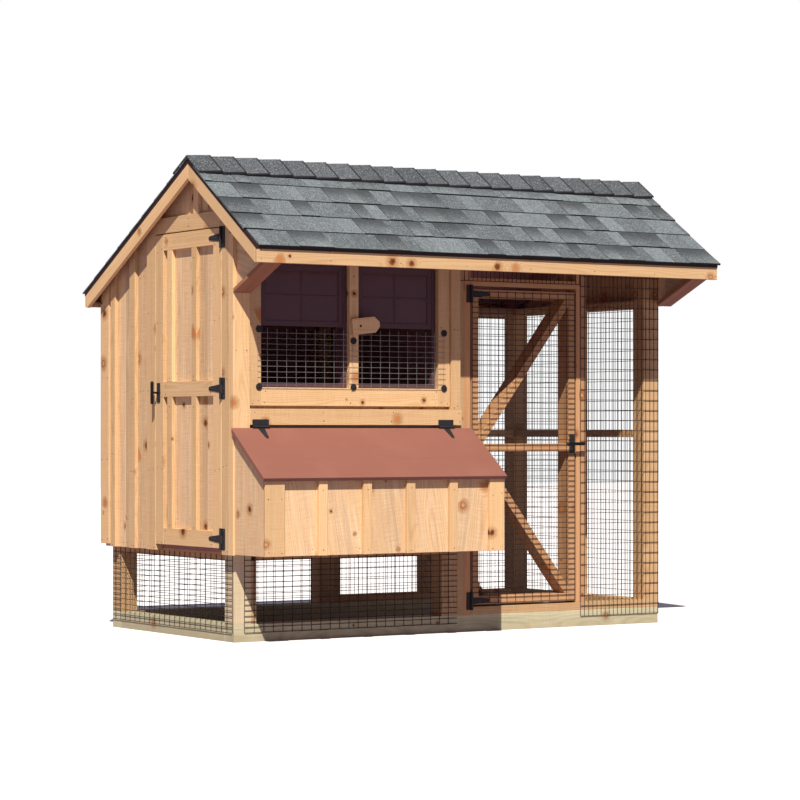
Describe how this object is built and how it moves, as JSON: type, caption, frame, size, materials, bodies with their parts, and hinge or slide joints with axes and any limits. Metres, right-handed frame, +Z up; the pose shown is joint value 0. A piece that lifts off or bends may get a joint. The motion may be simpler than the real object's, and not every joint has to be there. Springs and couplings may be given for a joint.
{
  "type": "chicken coop",
  "caption": "Timber chicken coop: raised board-and-batten hen house with nest box on one side, wire run with door under the same shingled gable roof.",
  "frame": {"origin": "middle of the footprint of the whole coop, roof edges included, on the ground", "axes": "+X right along the front, from hen house to run; +Y from the nest box side to the back; +Z up"},
  "size_m": [2.63, 1.735, 2.2435],
  "materials": {
    "treated_timber": "rough sawn",
    "framing_timber": "planed",
    "plywood": "sanded",
    "siding_boards": "planed, oiled",
    "trim_boards": "planed, oiled",
    "stained_boards": "stained",
    "painted_lid": "matt paint",
    "shingle": "mineral granules",
    "roof_felt": "matt",
    "drip_metal": "satin",
    "window_frame": "satin",
    "glazed_sash": "gloss",
    "galvanised_wire": "dull zinc",
    "zinc_screw": "zinc plated",
    "black_iron": "matt black",
    "steel_pin": "satin black"
  },
  "bodies": {
    "coop": {"skids": "treated_timber", "corner_posts": "treated_timber", "wall_studs": "treated_timber", "run_rails": "treated_timber", "top_plates": "framing_timber", "run_door_jambs": "framing_timber", "floor_frame": "framing_timber", "house_framing": "framing_timber", "rafters": "framing_timber", "ridge_board": "framing_timber", "roost_bars": "framing_timber", "ramp": "framing_timber", "pop_door_guides": "framing_timber", "floor_panel": "plywood", "roof_deck": "plywood", "back_soffit": "plywood", "gable_siding": "siding_boards", "back_siding": "siding_boards", "partition_siding": "siding_boards", "run_gable_siding": "siding_boards", "front_wall_boards": "siding_boards", "overhang_end_caps": "siding_boards", "nest_front": "siding_boards", "nest_ends": "siding_boards", "nest_inside": "siding_boards", "gable_trim": "trim_boards", "front_trim": "trim_boards", "window_casing": "trim_boards", "nest_battens": "trim_boards", "rake_boards": "trim_boards", "fascia_boards": "trim_boards", "overhang_returns": "stained_boards", "shingles_front": "shingle", "shingles_back": "shingle", "ridge_cap": "shingle", "roof_felt": "roof_felt", "drip_edges": "drip_metal", "window_frames": "window_frame", "fixed_sashes": "glazed_sash", "window_guard": "galvanised_wire", "base_wire": "galvanised_wire", "run_wire": "galvanised_wire", "wall_screws": "zinc_screw", "hinge_leaves": "black_iron", "latch_keepers": "black_iron", "hinge_pins": "steel_pin"},
    "gable_door": {"gable_door_boards": "siding_boards", "gable_door_trim": "trim_boards", "gable_door_hardware": "black_iron"},
    "gable_latch": {"gable_latch_handle": "black_iron"},
    "run_door": {"run_door_frame": "framing_timber", "run_door_wire": "galvanised_wire", "run_door_hardware": "black_iron"},
    "run_latch": {"run_latch_handle": "black_iron"},
    "nest_box_lid": {"nest_lid": "painted_lid", "nest_lid_straps": "black_iron"},
    "left_sash": {"sash_left": "glazed_sash"},
    "right_sash": {"sash_right": "glazed_sash"},
    "window_button": {"turn_button": "trim_boards"},
    "chicken_door": {"pop_door": "plywood"}
  },
  "joints": [
    {"name": "gable_door_hinge", "type": "hinge", "parent": "coop", "child": "gable_door", "pos_m": [-1.2634, -0.4425, 1.158], "axis": [0, 0, 1], "range_deg": [0, 110]},
    {"name": "gable_latch_turn", "type": "hinge", "parent": "gable_door", "child": "gable_latch", "pos_m": [-1.257, 0.1695, 1.144], "axis": [1, 0, 0], "range_deg": [0, 90]},
    {"name": "run_door_hinge", "type": "hinge", "parent": "coop", "child": "run_door", "pos_m": [0.084, -0.4999, 0.884], "axis": [0, 0, -1], "range_deg": [0, 90]},
    {"name": "run_latch_turn", "type": "hinge", "parent": "run_door", "child": "run_latch", "pos_m": [0.682, -0.4935, 0.9], "axis": [0, -1, 0], "range_deg": [0, 90]},
    {"name": "nest_lid_hinge", "type": "hinge", "parent": "coop", "child": "nest_box_lid", "pos_m": [-0.6075, -0.5559, 0.9817], "axis": [-1, 0, 0], "range_deg": [0, 110]},
    {"name": "left_sash_slide", "type": "slide", "parent": "coop", "child": "left_sash", "axis": [0, 0, 1], "range_m": [-0.265, 0]},
    {"name": "right_sash_slide", "type": "slide", "parent": "coop", "child": "right_sash", "axis": [0, 0, 1], "range_m": [-0.265, 0]},
    {"name": "window_button_turn", "type": "hinge", "parent": "coop", "child": "window_button", "pos_m": [-0.582, -0.5495, 1.451], "axis": [0, -1, 0], "range_deg": [0, 90]},
    {"name": "chicken_door_slide", "type": "slide", "parent": "coop", "child": "chicken_door", "axis": [0, 0, 1], "range_m": [0, 0.37]}
  ]
}
